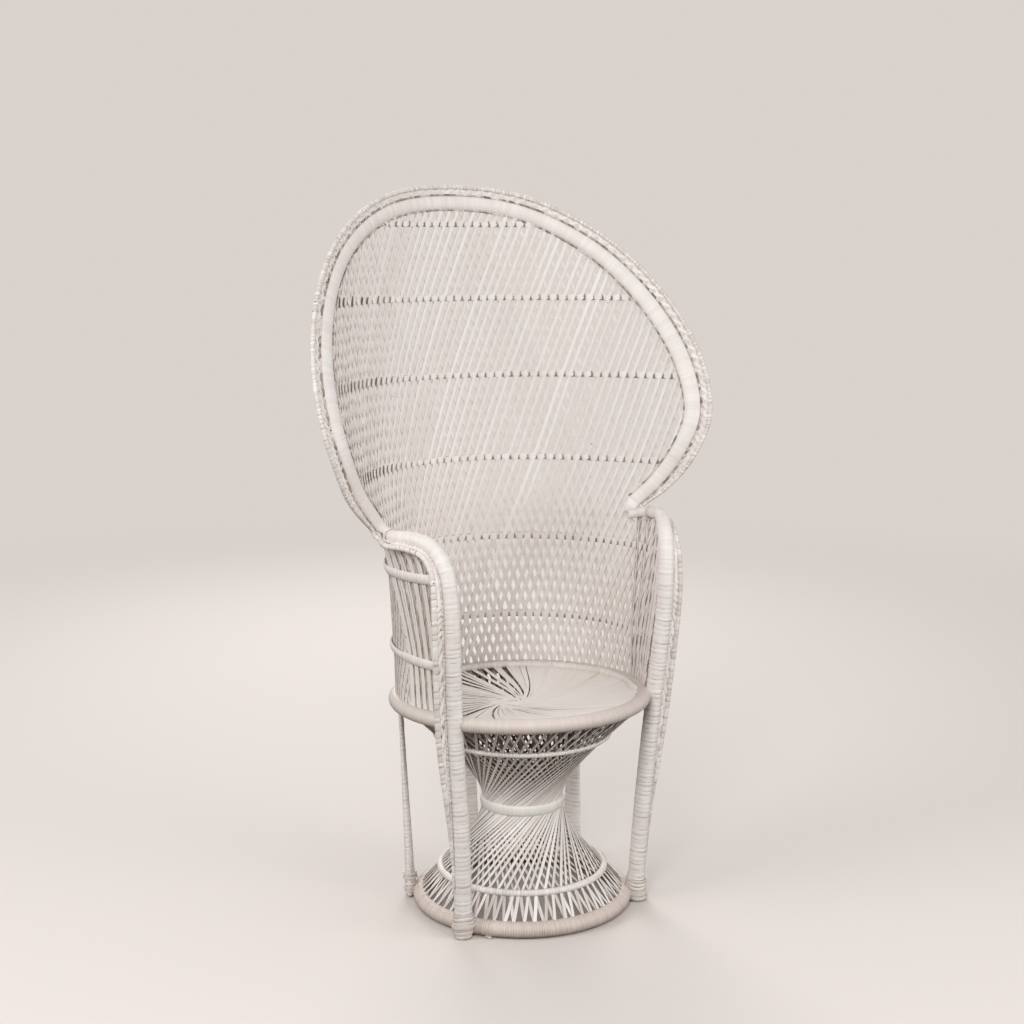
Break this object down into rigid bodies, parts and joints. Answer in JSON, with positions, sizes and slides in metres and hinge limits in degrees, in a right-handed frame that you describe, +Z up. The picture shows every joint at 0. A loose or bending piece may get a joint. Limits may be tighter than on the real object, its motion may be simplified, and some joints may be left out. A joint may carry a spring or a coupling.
{
  "type": "peacock chair",
  "caption": "Peacock chair of white-painted cane: a round woven seat on an hourglass base, with rolled arms and a tall fan-shaped lattice back.",
  "frame": {"origin": "on the floor, under the middle of the chair's bounding box", "axes": "+Z up; a sitter faces -Y, and +X is towards the right as seen from the front"},
  "size_m": [0.9048, 0.583, 1.4879],
  "materials": {
    "roll_wrap": "thick cane rolls wrapped in split cane, brushed with warm white paint",
    "hoop_cane": "thin round and flat canes, brushed with white paint that is chipped in places",
    "weave_cane": "crossing woven canes under thin brushed white paint",
    "seat_cane": "flat woven seat canes, painted white and slightly polished by wear",
    "foot_binding": "lashings of split cane, painted white and yellowed near the floor"
  },
  "bodies": {
    "root": {"base_ring": "roll_wrap", "seat_rim": "roll_wrap", "arm_and_leg_left": "roll_wrap", "arm_and_leg_right": "roll_wrap", "fan_roll": "roll_wrap", "rear_leg_left": "roll_wrap", "rear_leg_right": "roll_wrap", "rear_leg_centre": "roll_wrap", "lower_hoop": "hoop_cane", "waist_band": "hoop_cane", "upper_hoop": "hoop_cane", "seat_back_hoop": "hoop_cane", "fan_edge_rod": "hoop_cane", "arm_edge_rod_left": "hoop_cane", "arm_edge_rod_right": "hoop_cane", "back_row_1": "hoop_cane", "back_row_2": "hoop_cane", "back_row_3": "hoop_cane", "back_row_4": "hoop_cane", "back_row_5": "hoop_cane", "back_row_6": "hoop_cane", "skirt_weave": "weave_cane", "lower_cone_weave": "weave_cane", "upper_cone_weave": "weave_cane", "seat_batten_left": "weave_cane", "seat_batten_right": "weave_cane", "fan_edge_web": "weave_cane", "back_lattice": "weave_cane", "side_lattice_left": "weave_cane", "side_lattice_right": "weave_cane", "arm_edge_web_left": "weave_cane", "arm_edge_web_right": "weave_cane", "seat_weave": "seat_cane", "foot_binding_front_left": "foot_binding", "foot_binding_front_right": "foot_binding", "foot_binding_rear_left": "foot_binding", "foot_binding_rear_right": "foot_binding", "foot_binding_rear_centre": "foot_binding", "arm_joint_binding_left": "foot_binding", "arm_joint_binding_right": "foot_binding"}
  },
  "joints": []
}
